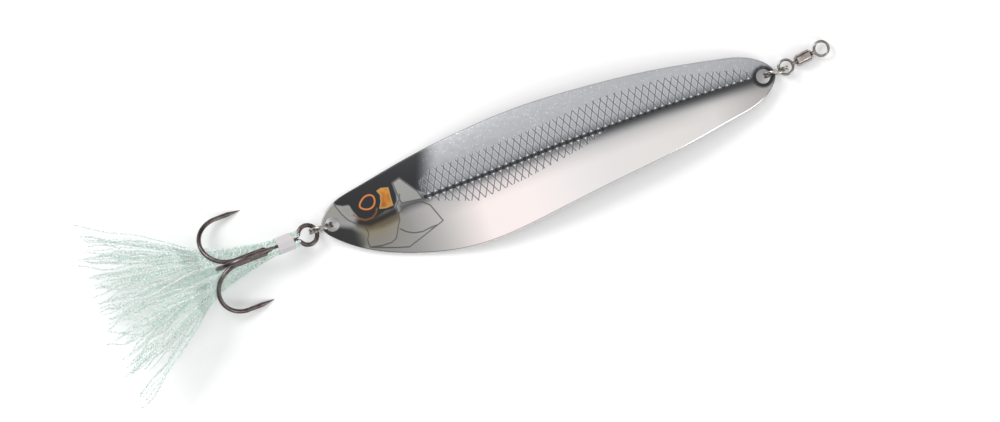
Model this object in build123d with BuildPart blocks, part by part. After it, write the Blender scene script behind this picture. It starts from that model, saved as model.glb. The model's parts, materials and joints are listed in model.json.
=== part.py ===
"""Spoon lure: a stamped metal blade with a swivel on its line end and a tinsel-dressed treble hook.

Millimetres. The lure lies on a flat surface with its decorated face up. The origin is the centre of
the swivel's outer eye, where the line is tied. +X points ahead along the blade, +Y to the side that
carries the back of the painted fish, and +Z up.
"""

import os
from math import asin, atan2, cos, degrees, hypot, pi, radians, sin, sqrt

from build123d import *

# ---- swivel
EYE_WIRE = 0.75
EYE_RADIUS = 1.925  # middle of the wire
EYE_FLAT = 0.04  # the mandrel presses a narrow flat on the inside of each eye
BARREL_LENGTH = 5.0
BARREL_RADIUS = 1.62
BARREL_WALL = 0.32
EYE_TO_BARREL = 5.3  # eye centre to barrel centre
PIVOT_RADIUS = 0.40
PIVOT_CLEARANCE = 0.05
HEAD_RADIUS = 1.0
HEAD_LENGTH = 0.55
NECK_RADIUS = 0.52
NECK_GAP = 0.12  # the thick neck stops short of the barrel's end
UP = Vector(0, 0, 1)
SWIVEL_YAW = 8.7  # degrees, how the swivel happens to lie
SWIVEL_SLIDE = 12.0  # degrees round its inner eye that the ring has slid
FLOOR = -(BARREL_RADIUS + 0.03)

# ---- split rings
RING_RADIUS = 3.1
RING_WIRE = 0.76
COIL_STEP = 0.78  # one coil to the next, along the ring's axis
RING_PLAY = 0.22  # room left between a ring and the swivel's eye
RING_TO_WEB = 1.7  # ring centre to the middle of the metal between hole and edge
RING_LEAN = 60.0  # degrees that the ring stands up from the blade's plane
RING_Z = FLOOR + RING_RADIUS + RING_WIRE / 2 + 0.02
JOG_ANGLE = 44.0  # degrees over which the wire crosses from one coil to the other
LINK_CLEAR = 0.04
END_GAP = 6.0  # degrees from a coil's free end to the crossing

# ---- blade
BLADE_LENGTH = 127.0
BLADE_THICK = 1.2
HOLE_RADIUS = 1.9
FRONT_WEB = 1.44
REAR_WEB = 1.05
CUP_RADIUS = 62.0  # across the blade
CUP_SHIFT = -2.0  # the deep belly side carries the cup's crest with it
ARCH_RADIUS = 260.0  # along the front two thirds, crown up
CURL_RADIUS = 140.0  # along the tail, turned up
CURL_START = -30.0  # from the middle of the blade
EDGE_ROUND = 0.4
STRIP_WIDTH = 50.0  # the sheet that the outline is cut from
STRIP_SPARE = 2.0  # of it past each tip
CUT_HEIGHT = 20.0

# ---- treble hook
HOOK_WIRE = 1.2
WIRE_GAP = 0.05  # filled with braze
HOOK_EYE_RADIUS = 2.6
EYE_SHOULDER = 1.0
BEND_RADIUS = 7.05
SHANK_LENGTH = 20.4  # eye centre to where the bend starts
TREBLE_YAW = 2.3  # degrees that the shank points away from the blade's line, to the belly side
EYE_SLIDE = 10.0  # degrees round its own eye that the treble hangs off its front
POINT_LEG = 7.2
POINT_TAPER = 3.5
POINT_TIP_RADIUS = 0.05
POINT_TURN_IN = 3.0  # degrees
BARB_LENGTH = 1.3
BARB_HEIGHT = 0.42
BARB_WIDTH = 0.34
BARB_SINK = 0.25  # how deep the barb's root sits in the wire
BARB_SETBACK = 0.6  # from the start of the taper
BARB_TIP_RISE = 0.1
POINT_CLEAR = 0.05  # the two lower points above the surface
RING_TO_EYE_WIRE = (1.46, 1.0)  # ring centre to the wire of the treble's eye, back and down
SINGLE_START = 4.0  # the third shank starts here
BRAZE = (4.6, 17.0)
BRAZE_RADIUS = 0.86

# ---- dressing on the shank
WRAP = (4.7, 8.9)
WRAP_THREAD = 0.3
WRAP_INNER = 1.36
SLEEVE = (4.5, 9.1)
SLEEVE_RADIUS = 2.38
SLEEVE_WALL = 0.34
ROOT = (3.5, 9.35)

# =============================================================== places worked out from the sizes
ahead = Vector(cos(radians(SWIVEL_YAW)), sin(radians(SWIVEL_YAW)), 0)
barrel_centre = ahead * -EYE_TO_BARREL
inner_eye = ahead * (-2 * EYE_TO_BARREL)

lean = radians(RING_LEAN)
ring_hold = RING_RADIUS - RING_WIRE / 2 - EYE_WIRE / 2 - LINK_CLEAR
swivel_slide = radians(SWIVEL_SLIDE)
held_wire = inner_eye - Vector(cos(swivel_slide), sin(swivel_slide), 0) * EYE_RADIUS
front_ring = held_wire + Vector(-sqrt(ring_hold**2 - RING_Z**2) + RING_PLAY, 0, RING_Z)
blade_y = front_ring.Y
front_web = front_ring - Vector(RING_TO_WEB * cos(lean), 0, RING_TO_WEB * sin(lean))
front_tip = front_web.X + FRONT_WEB / 2
front_hole = front_tip - FRONT_WEB - HOLE_RADIUS
blade_mid = front_tip - BLADE_LENGTH / 2
rear_tip = front_tip - BLADE_LENGTH
rear_web = Vector(rear_tip + REAR_WEB / 2, blade_y, front_web.Z)
rear_hole = rear_tip + REAR_WEB + HOLE_RADIUS
rear_ring = rear_web + Vector(-RING_TO_WEB * cos(lean), 0, RING_TO_WEB * sin(lean))

# The treble rests on two points, so its slope follows from the height of its eye.
bundle_half = HOOK_WIRE / 2 + WIRE_GAP / 2
bundle = bundle_half / cos(pi / 6)  # centre of the shank bundle to each wire
eye_drop = bundle / 2
near_wire = rear_ring - Vector(RING_TO_EYE_WIRE[0], 0, RING_TO_EYE_WIRE[1])
point_reach = bundle + 2 * BEND_RADIUS - POINT_LEG * sin(radians(POINT_TURN_IN))
point_along = SHANK_LENGTH - POINT_LEG * cos(radians(POINT_TURN_IN))
eye_height = near_wire.Z + eye_drop - FLOOR - POINT_CLEAR
arm = HOOK_EYE_RADIUS + point_along
slope = atan2(point_reach / 2, arm) - asin(eye_height / hypot(arm, point_reach / 2))
yaw = radians(TREBLE_YAW)
level = Vector(-cos(yaw), -sin(yaw), 0)
back = level * cos(slope) + Vector(0, 0, sin(slope))
lift = level * -sin(slope) + Vector(0, 0, cos(slope))
across = back.cross(lift)
slide = radians(EYE_SLIDE)
eye_middle = near_wire + (back * cos(slide) - across * sin(slide)) * HOOK_EYE_RADIUS
hook_eye = eye_middle + lift * eye_drop


def treble_point(along, side, up):
    """A place given from the hook's eye centre: along the shank, to its side, and up."""
    return hook_eye + back * along + across * side + lift * up


def treble_plane(along, radial_angle=0.0, radial=0.0):
    """A plane square to the shank, its x pointing outwards at radial_angle."""
    out = outward(radial_angle)
    return Plane(origin=treble_point(along, 0, 0) + out * radial, x_dir=out, z_dir=back)


def outward(angle):
    """The direction away from the shank at an angle in degrees: 0 is +Y and 90 is up."""
    return across * cos(radians(angle)) + lift * sin(radians(angle))


def save(part, name):
    """Labels a finished piece and writes its file."""
    part.label = name
    export_step(part, f"parts/{name}.step")


os.makedirs("parts", exist_ok=True)


# =============================================================== blade
def profile_slope(u):
    """Slope of the blade's middle line at u from its centre, from the two arcs' radii."""
    if u >= CURL_START:
        return (crown - u) / ARCH_RADIUS
    return (crown - CURL_START) / ARCH_RADIUS - (CURL_START - u) / CURL_RADIUS


def rise(u, start):
    """Height of the middle line at u above its height at start."""
    steps = 200
    width = (u - start) / steps
    return sum(profile_slope(start + (i + 0.5) * width) * width for i in range(steps))


# The crown stands where both webs come out at one height.
front_u = front_web.X - blade_mid
rear_u = rear_web.X - blade_mid
low, high = -40.0, 60.0
while high - low > 1e-6:
    crown = (low + high) / 2
    if rise(front_u, rear_u) > 0:
        high = crown
    else:
        low = crown
crown_z = front_web.Z - rise(front_u, crown)

half_length = BLADE_LENGTH / 2 + STRIP_SPARE
curl_angle = degrees((crown - CURL_START) / ARCH_RADIUS)
front_angle = degrees((half_length - crown) / ARCH_RADIUS)
rear_angle = degrees((half_length + CURL_START) / CURL_RADIUS)
with BuildLine(Plane.XZ.offset(-blade_y)) as profile:
    arch = CenterArc(
        (blade_mid + crown, crown_z - ARCH_RADIUS),
        ARCH_RADIUS,
        90 - front_angle,
        front_angle + curl_angle,
    )
    JernArc(arch @ 1, arch % 1, CURL_RADIUS, -rear_angle)

# Outline points run from the tail's tip to the front tip, as (from the blade's middle, from its line).
BACK_EDGE = [(-60.8, 4.1), (-52.9, 7.0), (-37.0, 10.2), (-21.1, 12.4), (-5.2, 13.5), (14.2, 12.9)]
BACK_EDGE += [(34.5, 10.9), (50.3, 8.2), (59.2, 5.3)]
BELLY_EDGE = [(-60.8, -4.1), (-52.9, -9.9), (-41.0, -14.8), (-29.0, -17.5), (-17.1, -17.7)]
BELLY_EDGE += [(-5.2, -16.3), (14.2, -13.6), (34.5, -10.9), (50.3, -8.0), (59.2, -5.3)]
tail_tip = (-BLADE_LENGTH / 2, 0)
front_end = (BLADE_LENGTH / 2, 0)

with BuildPart() as spoon_blade:
    with BuildSketch(Plane(origin=arch @ 0, x_dir=(0, -1, 0), z_dir=arch % 0)):
        half_span = degrees(STRIP_WIDTH / 2 / CUP_RADIUS)
        with BuildLine():
            top = CenterArc(
                (-CUP_SHIFT, -CUP_RADIUS), CUP_RADIUS + BLADE_THICK / 2, 90 - half_span, 2 * half_span
            )
            under = CenterArc(
                (-CUP_SHIFT, -CUP_RADIUS), CUP_RADIUS - BLADE_THICK / 2, 90 - half_span, 2 * half_span
            )
            Line(top @ 0, under @ 0)
            Line(top @ 1, under @ 1)
        make_face()
    sweep(path=profile.line)
    with BuildSketch(Plane((blade_mid, blade_y, FLOOR))):
        with BuildLine():
            Spline(tail_tip, *BACK_EDGE, front_end, *reversed(BELLY_EDGE), periodic=True)
        make_face()
    extrude(amount=CUT_HEIGHT, mode=Mode.INTERSECT)
    rim = spoon_blade.edges().filter_by(lambda edge: edge.length > 2 * BLADE_THICK)
    fillet(rim, EDGE_ROUND)
    for hole_x in (front_hole, rear_hole):
        with BuildSketch(Plane((hole_x, blade_y, FLOOR))):
            Circle(HOLE_RADIUS)
        extrude(amount=CUT_HEIGHT, mode=Mode.SUBTRACT)
save(spoon_blade.part, "spoon_blade")


# =============================================================== split rings
def split_ring(centre, start):
    """A flat double coil of wire about the Y axis, whose wire changes coils at start degrees."""
    near = Plane(origin=centre + Vector(0, -COIL_STEP / 2, 0), x_dir=(1, 0, 0), z_dir=(0, -1, 0))
    far = near.offset(-COIL_STEP)
    turn = 360 - JOG_ANGLE - END_GAP
    with BuildPart() as ring:
        with BuildLine() as path:
            with BuildLine(near):
                first = CenterArc((0, 0), RING_RADIUS, start + JOG_ANGLE / 2 + END_GAP, turn)
            with BuildLine(far):
                second = CenterArc((0, 0), RING_RADIUS, start + JOG_ANGLE / 2, turn)
            Spline(first @ 1, second @ 0, tangents=[first % 1, second % 0])
        with BuildSketch(Plane(origin=first @ 0, z_dir=first % 0)):
            Circle(RING_WIRE / 2)
        sweep(path=path.line)
    return ring.part


save(split_ring(front_ring, 100), "front_split_ring")
save(split_ring(rear_ring, 80), "rear_split_ring")


# =============================================================== swivel
def swivel_eye(centre, inwards):
    """A wire eye about a vertical axis, with a neck through the barrel's end and a head that keeps it in."""
    neck_end = EYE_TO_BARREL - BARREL_LENGTH / 2 - NECK_GAP
    head_start = EYE_TO_BARREL - BARREL_LENGTH / 2 + BARREL_WALL + PIVOT_CLEARANCE
    head_end = head_start + HEAD_LENGTH
    bore_radius = EYE_RADIUS - EYE_WIRE / 2 + EYE_FLAT
    with BuildPart() as eye:
        with BuildSketch(Plane(origin=centre, x_dir=inwards, z_dir=inwards.cross(UP))):
            with Locations((EYE_RADIUS, 0)):
                Circle(EYE_WIRE / 2)
        revolve(axis=Axis(centre, (0, 0, 1)), revolution_arc=360)
        with BuildSketch(Plane(origin=centre, x_dir=inwards, z_dir=inwards.cross(UP))):
            with BuildLine():
                Polyline(
                    (EYE_RADIUS, 0),
                    (EYE_RADIUS, NECK_RADIUS),
                    (neck_end, NECK_RADIUS),
                    (neck_end, PIVOT_RADIUS),
                    (head_start, PIVOT_RADIUS),
                    (head_start, HEAD_RADIUS),
                    (head_end, HEAD_RADIUS),
                    (head_end, 0),
                    close=True,
                )
            make_face()
        revolve(axis=Axis(centre, inwards), revolution_arc=360)
        with BuildSketch(Plane(centre - UP * EYE_WIRE)):
            Circle(bore_radius)
        extrude(amount=2 * EYE_WIRE, mode=Mode.SUBTRACT)
    return eye.part


save(swivel_eye(Vector(0, 0, 0), -ahead), "swivel_upper_eye")
save(swivel_eye(inner_eye, ahead), "swivel_lower_eye")

half_barrel = BARREL_LENGTH / 2
PIVOT_HOLE = PIVOT_RADIUS + PIVOT_CLEARANCE
CRIMP_RADIUS = 1.05  # the barrel's ends are rolled in to this
CRIMP_LENGTH = 0.55
NECK_IN_RADIUS = 1.42
SHOULDER_LENGTH = 0.15
barrel_outline = [
    (-half_barrel, PIVOT_HOLE),
    (-half_barrel, CRIMP_RADIUS),
    (-half_barrel + CRIMP_LENGTH, NECK_IN_RADIUS),
    (-half_barrel + CRIMP_LENGTH + SHOULDER_LENGTH, BARREL_RADIUS),
]
hollow_outline = [
    (-half_barrel + BARREL_WALL, PIVOT_HOLE),
    (-half_barrel + BARREL_WALL, HEAD_RADIUS + PIVOT_CLEARANCE),
]
with BuildPart() as swivel_barrel:
    with BuildSketch(Plane(origin=barrel_centre, x_dir=ahead, z_dir=ahead.cross(UP))):
        with BuildLine():
            Polyline(
                *barrel_outline,
                *[(-x, r) for x, r in reversed(barrel_outline)],
                *[(-x, r) for x, r in hollow_outline],
                *reversed(hollow_outline),
                close=True,
            )
        make_face()
    revolve(axis=Axis(barrel_centre, ahead), revolution_arc=360)
save(swivel_barrel.part, "swivel_barrel")


# =============================================================== treble hook
def hook_wire(angle, start):
    """One hook from start along the shank, round its bend and back to a tapered, barbed point."""
    out = outward(angle)
    plane = Plane(origin=hook_eye + out * bundle, x_dir=back, z_dir=back.cross(out))
    turn_in = radians(POINT_TURN_IN)
    leg = POINT_LEG - POINT_TAPER
    with BuildPart() as hook:
        with BuildLine(plane) as path:
            Line((start, 0), (SHANK_LENGTH, 0))
            CenterArc((SHANK_LENGTH, BEND_RADIUS), BEND_RADIUS, -90, 180)
            tip = Line(
                (SHANK_LENGTH, 2 * BEND_RADIUS),
                (SHANK_LENGTH - leg, 2 * BEND_RADIUS),
            )
        with BuildSketch(Plane(origin=path.line @ 0, z_dir=back)):
            Circle(HOOK_WIRE / 2)
        sweep(path=path.line)
        with BuildSketch(Plane(origin=tip @ 1, x_dir=out, z_dir=-back)):
            Circle(HOOK_WIRE / 2)
        point_end = (tip @ 1) - back * POINT_TAPER - out * POINT_TAPER * sin(turn_in)
        with BuildSketch(Plane(origin=point_end, x_dir=out, z_dir=-back)):
            Circle(POINT_TIP_RADIUS)
        loft()
        barb_base = (tip @ 1) - out * (HOOK_WIRE / 2 - BARB_SINK) - back * BARB_SETBACK
        with BuildSketch(Plane(origin=barb_base, x_dir=-back, z_dir=back.cross(out))):
            Polygon((0, 0), (BARB_LENGTH, BARB_TIP_RISE), (0, -BARB_HEIGHT), align=None)
        extrude(amount=BARB_WIDTH / 2, both=True)
    return hook.part


shoulder_along = sqrt((HOOK_EYE_RADIUS + EYE_SHOULDER) ** 2 - (bundle_half + EYE_SHOULDER) ** 2)
shoulder_angle = degrees(atan2(bundle_half + EYE_SHOULDER, shoulder_along))
eye_plane = Plane(origin=treble_point(0, 0, -eye_drop), x_dir=back, z_dir=lift)
with BuildPart() as treble_double_hook:
    with BuildLine(eye_plane) as loop:
        CenterArc((0, 0), HOOK_EYE_RADIUS, shoulder_angle, 360 - 2 * shoulder_angle)
        for side in (1, -1):
            CenterArc(
                (shoulder_along, side * (bundle_half + EYE_SHOULDER)),
                EYE_SHOULDER,
                180 + side * shoulder_angle,
                side * (90 - shoulder_angle),
            )
    with BuildSketch(Plane(origin=treble_point(shoulder_along, -bundle_half, -eye_drop), z_dir=back)):
        Circle(HOOK_WIRE / 2)
    sweep(path=loop.line)
    add(hook_wire(-30, shoulder_along))
    add(hook_wire(-150, shoulder_along))
save(treble_double_hook.part, "treble_double_hook")
save(hook_wire(90, SINGLE_START), "treble_single_hook")

with BuildPart() as treble_braze:
    with BuildSketch(treble_plane(BRAZE[0])):
        Circle(BRAZE_RADIUS)
        with PolarLocations(bundle, 3, start_angle=30):
            Circle(HOOK_WIRE / 2, mode=Mode.SUBTRACT)
    extrude(amount=BRAZE[1] - BRAZE[0])
save(treble_braze.part, "treble_braze")

# =============================================================== dressing
with BuildPart() as tying_thread:
    with BuildSketch(treble_plane(WRAP[0])):
        Circle(WRAP_INNER + WRAP_THREAD)
        Circle(WRAP_INNER, mode=Mode.SUBTRACT)
    extrude(amount=WRAP[1] - WRAP[0])
save(tying_thread.part, "tying_thread")

with BuildPart() as collar_sleeve:
    with BuildSketch(treble_plane(SLEEVE[0])):
        Circle(SLEEVE_RADIUS)
        Circle(SLEEVE_RADIUS - SLEEVE_WALL, mode=Mode.SUBTRACT)
    extrude(amount=SLEEVE[1] - SLEEVE[0])
save(collar_sleeve.part, "collar_sleeve")

# Each tuft leaves the sleeve between two hooks and spreads to its place in the fan:
# name, angle round the shank, then side and height of its far end from the shank's line.
TUFTS = [
    ("tinsel_back_low", -4, 20.0, -7.0),
    ("tinsel_back_middle", 30, 13.5, -5.0),
    ("tinsel_back_high", 64, 5.0, -3.5),
    ("tinsel_belly_high", 116, -5.0, -3.5),
    ("tinsel_belly_middle", 150, -14.5, -5.0),
    ("tinsel_belly_low", 184, -22.5, -7.0),
    ("tinsel_under_belly", 236, -10.5, -12.5),
    ("tinsel_under_middle", 270, -0.5, -13.0),
    ("tinsel_under_back", 304, 9.5, -12.5),
]
ROOT_RADIUS = (WRAP_INNER + WRAP_THREAD + SLEEVE_RADIUS - SLEEVE_WALL) / 2
# Oval sections near the shank: (along it, out from it, half thickness, half width).
NEAR_SECTIONS = [
    (ROOT[0], ROOT_RADIUS, 0.13, 0.42),
    (ROOT[1], ROOT_RADIUS, 0.13, 0.42),
    (17.0, 2.75, 0.8, 0.68),
    (27.0, 5.2, 1.3, 1.3),
]
# Level sections of the fan: (along the shank, share of the way to the far end, out from the shank,
# half thickness, half width).
FAN_SECTIONS = [(42.0, 0.52, 2.2, 1.5, 2.0), (60.0, 1.0, 0.0, 1.5, 2.4)]


def tuft(angle, side, height):
    """A closed skin round one tuft, through oval sections square to the shank."""
    with BuildPart() as skin:
        for along, radial, thick, wide in NEAR_SECTIONS:
            with BuildSketch(treble_plane(along, angle, radial)):
                Ellipse(thick, wide)
        for along, share, radial, thick, wide in FAN_SECTIONS:
            place = treble_point(along, side * share, height * share) + outward(angle) * radial
            with BuildSketch(Plane(origin=place, x_dir=lift, z_dir=back)):
                Ellipse(thick, wide)
        loft(ruled=True)
    return skin.part


for name, angle, side, height in TUFTS:
    save(tuft(angle, side, height), name)
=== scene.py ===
# %% [markdown]
# # A spoon lure, dressed round its CAD frame
# The metal parts come from the CAD model. This lesson gives the blade a mirror plate with a printed
# fish, turns each plain tuft into crinkled film strands, and finishes every wire and sleeve. Named
# lengths are in millimetres unless a comment says metres, and MM turns them into metres.

# %% Load the frame
import json
import math

import bpy
import numpy as np
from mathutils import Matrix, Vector
from mathutils.geometry import delaunay_2d_cdt


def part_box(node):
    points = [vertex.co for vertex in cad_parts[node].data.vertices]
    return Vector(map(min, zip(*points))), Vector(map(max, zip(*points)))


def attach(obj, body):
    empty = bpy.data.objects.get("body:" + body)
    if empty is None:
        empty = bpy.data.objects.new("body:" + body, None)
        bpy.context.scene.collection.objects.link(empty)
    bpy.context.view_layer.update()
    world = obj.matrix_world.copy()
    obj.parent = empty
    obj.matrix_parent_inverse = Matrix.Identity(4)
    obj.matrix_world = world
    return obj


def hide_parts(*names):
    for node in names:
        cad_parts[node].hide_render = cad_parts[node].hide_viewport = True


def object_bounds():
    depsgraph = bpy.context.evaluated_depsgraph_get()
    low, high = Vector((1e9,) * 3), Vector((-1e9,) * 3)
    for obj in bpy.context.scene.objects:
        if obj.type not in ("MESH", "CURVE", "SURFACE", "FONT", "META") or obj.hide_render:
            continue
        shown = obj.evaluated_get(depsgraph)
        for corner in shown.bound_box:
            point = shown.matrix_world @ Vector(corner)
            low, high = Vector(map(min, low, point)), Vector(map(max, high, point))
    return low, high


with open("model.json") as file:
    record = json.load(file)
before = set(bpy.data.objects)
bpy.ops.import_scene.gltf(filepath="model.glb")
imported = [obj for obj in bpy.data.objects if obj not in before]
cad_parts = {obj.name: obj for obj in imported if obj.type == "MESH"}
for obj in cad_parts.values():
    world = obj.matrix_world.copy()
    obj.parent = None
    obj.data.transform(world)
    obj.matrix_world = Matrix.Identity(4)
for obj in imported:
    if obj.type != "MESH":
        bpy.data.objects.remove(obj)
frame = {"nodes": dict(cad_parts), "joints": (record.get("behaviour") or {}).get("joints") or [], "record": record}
cad_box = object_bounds()
MM = 0.001
print("CAD box, mm:", [[round(c / MM, 1) for c in corner] for corner in cad_box])


# %% [markdown]
# Colours are written as sRGB hex, as a colour picker gives them, and turned linear in one place,
# because shaders add and mix light in linear values.

# %% Colours
def linear(hex_colour):
    """An sRGB hex string as linear RGBA: below 0.04045 a straight line, above it a power of 2.4."""
    srgb = np.array([int(hex_colour[i : i + 2], 16) for i in (1, 3, 5)]) / 255
    return (*np.where(srgb <= 0.04045, srgb / 12.92, ((srgb + 0.055) / 1.055) ** 2.4), 1.0)


print("middle grey #808080 is", round(float(linear("#808080")[0]), 3), "in linear light")


# %% [markdown]
# Every material is a small graph of nodes. One function adds a node, sets its inputs and properties,
# and links whatever input is given another node's output.

# %% A material and a node
def new_material(name):
    """An empty node material with its output, and the shader tree."""
    material = bpy.data.materials.new(name)
    material.use_nodes = True
    material.node_tree.nodes.clear()
    return material, material.node_tree


def add(tree, kind, inputs=None, **properties):
    """Adds a node of a kind. inputs maps a socket's name or number to a value or to another node's output."""
    node = tree.nodes.new(kind)
    for name, value in properties.items():
        setattr(node, name, value)
    for socket, value in (inputs or {}).items():
        if isinstance(value, bpy.types.NodeSocket):
            tree.links.new(value, node.inputs[socket])
        else:
            node.inputs[socket].default_value = value
    return node


def finish_material(tree, inputs, kind="ShaderNodeBsdfPrincipled"):
    """Adds a shader with its inputs and sends it to the material's output."""
    shader = add(tree, kind, inputs)
    add(tree, "ShaderNodeOutputMaterial", {"Surface": shader.outputs[0]})


def object_place(tree):
    """The shaded point's place in the object, in metres."""
    return add(tree, "ShaderNodeTexCoord").outputs["Object"]


def ramp(tree, value, stops):
    """A colour that runs between stops of (value, hex colour)."""
    node = add(tree, "ShaderNodeValToRGB", {0: value})
    while len(node.color_ramp.elements) < len(stops):
        node.color_ramp.elements.new(0.5)
    for element, (where, hex_colour) in zip(node.color_ramp.elements, stops):
        element.position = where
        element.color = linear(hex_colour)
    return node.outputs[0]


def math_node(tree, operation, *values):
    """One sum on numbers or outputs, and its result."""
    return add(tree, "ShaderNodeMath", dict(enumerate(values)), operation=operation).outputs[0]


def noise(tree, position, scale, detail):
    """Cloudy noise, with scale in clouds to a metre."""
    inputs = {"Vector": position, "Scale": scale, "Detail": detail}
    return add(tree, "ShaderNodeTexNoise", inputs).outputs["Fac"]


def relief(tree, height, strength, depth):
    """A bump whose height of 1 stands for a depth in millimetres, and its normal."""
    inputs = {"Strength": strength, "Distance": depth * MM, "Height": height}
    return add(tree, "ShaderNodeBump", inputs).outputs[0]


# %% [markdown]
# The camera looks straight down on the lure as it lies, turned so that the blade climbs to the right.
# A long lens keeps the hardware square-on from end to end.

# %% Camera
BLADE_CLIMB = 18.95  # degrees that the blade's line rises to the right in the camera's view
FRAME_WIDTH = 264.6  # mm across the camera's view at FRAME_LEVEL
FRAME_LEVEL = 3  # mm above the zero of height
FRAME_SHIFT = (-17.4, -11.1)  # mm from the blade's middle to the middle of the view
LENS = 150.0  # mm
SENSOR = 36.0  # mm
FAR_CLIP = 20.0  # metres
blade_low, blade_high = (np.array(corner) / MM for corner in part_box("spoon_blade"))
ring_joints = {j["name"]: np.array(j["pos_m"]) / MM for j in frame["joints"]}
blade_mid = (blade_low[0] + blade_high[0]) / 2
blade_line = ring_joints["front_ring_swing"][1]
LOOK_AT = (blade_mid + FRAME_SHIFT[0], blade_line + FRAME_SHIFT[1])

camera = bpy.data.objects.new("camera", bpy.data.cameras.new("camera"))
camera.data.lens = LENS
camera.data.sensor_width = SENSOR
camera.data.clip_end = FAR_CLIP
camera.location = (LOOK_AT[0] * MM, LOOK_AT[1] * MM, FRAME_WIDTH * MM * LENS / SENSOR + FRAME_LEVEL * MM)
camera.rotation_euler = (0, 0, -math.radians(BLADE_CLIMB))
bpy.context.scene.collection.objects.link(camera)
bpy.context.scene.camera = camera
print("camera over", [round(float(v), 1) for v in LOOK_AT], "mm,", round(camera.location.z, 3), "m high")

# %% [markdown]
# Shiny metal shows the room it is in, so the room is the light: a white ceiling that falls off to a dark
# band just above the horizon gives round wires their dark edges. Two soft panels, one stronger than the
# other, add direction. Lamps alone would leave a mirror plate black, since it would have no room to show.

# %% Light and floor
scene = bpy.context.scene
scene.view_settings.view_transform = "Standard"
scene.view_settings.look = "None"
world = bpy.data.worlds.new("studio")
scene.world = world
world.use_nodes = True
sky = world.node_tree
sky.nodes.clear()
direction = add(sky, "ShaderNodeTexCoord").outputs["Generated"]
height = add(sky, "ShaderNodeSeparateXYZ", {0: direction}).outputs["Z"]
SKY_STOPS = ((0.0, "#B4B5B7"), (0.1, "#3E3F42"), (0.4, "#77787B"), (0.74, "#FFFFFF"))
room = add(sky, "ShaderNodeBackground", {"Color": ramp(sky, height, SKY_STOPS), "Strength": 1.0})
add(sky, "ShaderNodeOutputWorld", {"Surface": room.outputs[0]})


def soft_panel(name, place, size, power):
    """A square area light that faces the middle of the view, with its place and size in metres."""
    lamp = bpy.data.lights.new(name, "AREA")
    lamp.size = size
    lamp.energy = power
    panel = bpy.data.objects.new(name, lamp)
    panel.location = place
    aim = Vector((LOOK_AT[0] * MM, LOOK_AT[1] * MM, 0)) - Vector(place)
    panel.rotation_euler = aim.to_track_quat("-Z", "Y").to_euler()
    scene.collection.objects.link(panel)
    print(name, power, "W")


soft_panel("key_panel", place=(-0.45, 0.55, 0.55), size=0.4, power=4.0)
soft_panel("fill_panel", place=(0.35, -0.6, 0.45), size=0.35, power=2.2)


def paper():
    """White background paper: matt, with no gloss."""
    material, tree = new_material("background_paper")
    finish_material(tree, {"Color": linear("#FAFAFA")}, "ShaderNodeBsdfDiffuse")
    return material


FLOOR_HALF = 1.5  # metres
FLOOR_SHIFT = -0.1  # metres along the lure
floor_z = cad_box[0][2]
floor_mesh = bpy.data.meshes.new("floor")
floor_mesh.from_pydata(
    [
        (x * FLOOR_HALF + FLOOR_SHIFT, y * FLOOR_HALF, floor_z)
        for x, y in ((-1, -1), (1, -1), (1, 1), (-1, 1))
    ],
    [],
    [(0, 1, 2, 3)],
)
floor_mesh.materials.append(paper())
floor = bpy.data.objects.new("floor", floor_mesh)
scene.collection.objects.link(floor)
print("floor at", round(floor_z / MM, 2), "mm, the lowest point of the CAD model")


# %% [markdown]
# Pieces are worked out as arrays of points and faces. This puts them in a mesh in one go.

# %% From arrays to an object
def make_piece(name, points, faces, material, normals=None, values=None):
    """An object at the origin from points in millimetres, faces, and a value per point for each attribute."""
    mesh = bpy.data.meshes.new(name)
    mesh.from_pydata((points * MM).tolist(), [], faces)
    mesh.polygons.foreach_set("use_smooth", np.ones(len(mesh.polygons), bool))
    for key, value in (values or {}).items():
        kind = "FLOAT_COLOR" if value.ndim == 2 else "FLOAT"
        layer = mesh.attributes.new(key, kind, "POINT")
        layer.data.foreach_set("color" if value.ndim == 2 else "value", value.astype(np.float32).ravel())
    if normals is not None:
        mesh.normals_split_custom_set_from_vertices(normals.tolist())
    mesh.materials.append(material)
    mesh.validate()
    piece = bpy.data.objects.new(name, mesh)
    scene.collection.objects.link(piece)
    print(name, len(points), "points", sum(len(f) - 2 for f in faces), "triangles")
    return piece


# %% [markdown]
# The blade is stamped from sheet: an outline cut from a strip that is cupped across and bent in two
# gentle arcs along its length. Its outline is one smooth closed curve through a few points.

# %% The blade's outline
BLADE_LENGTH = 127.0
EDGE_ROUND = 0.4
HOLE_RADIUS = 1.9
HOLE_BEVEL = 0.12
FRONT_WEB = 1.44  # mm of plate between a hole and the blade's end
REAR_WEB = 1.05
BACK_EDGE = [(-60.8, 4.1), (-52.9, 7.0), (-37.0, 10.2), (-21.1, 12.4), (-5.2, 13.5), (14.2, 12.9)]
BACK_EDGE += [(34.5, 10.9), (50.3, 8.2), (59.2, 5.3)]
BELLY_EDGE = [(-60.8, -4.1), (-52.9, -9.9), (-41.0, -14.8), (-29.0, -17.5), (-17.1, -17.7)]
BELLY_EDGE += [(-5.2, -16.3), (14.2, -13.6), (34.5, -10.9), (50.3, -8.0), (59.2, -5.3)]
front_tip = blade_mid + BLADE_LENGTH / 2
HOLES = (front_tip - FRONT_WEB - HOLE_RADIUS, front_tip - BLADE_LENGTH + REAR_WEB + HOLE_RADIUS)


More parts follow.
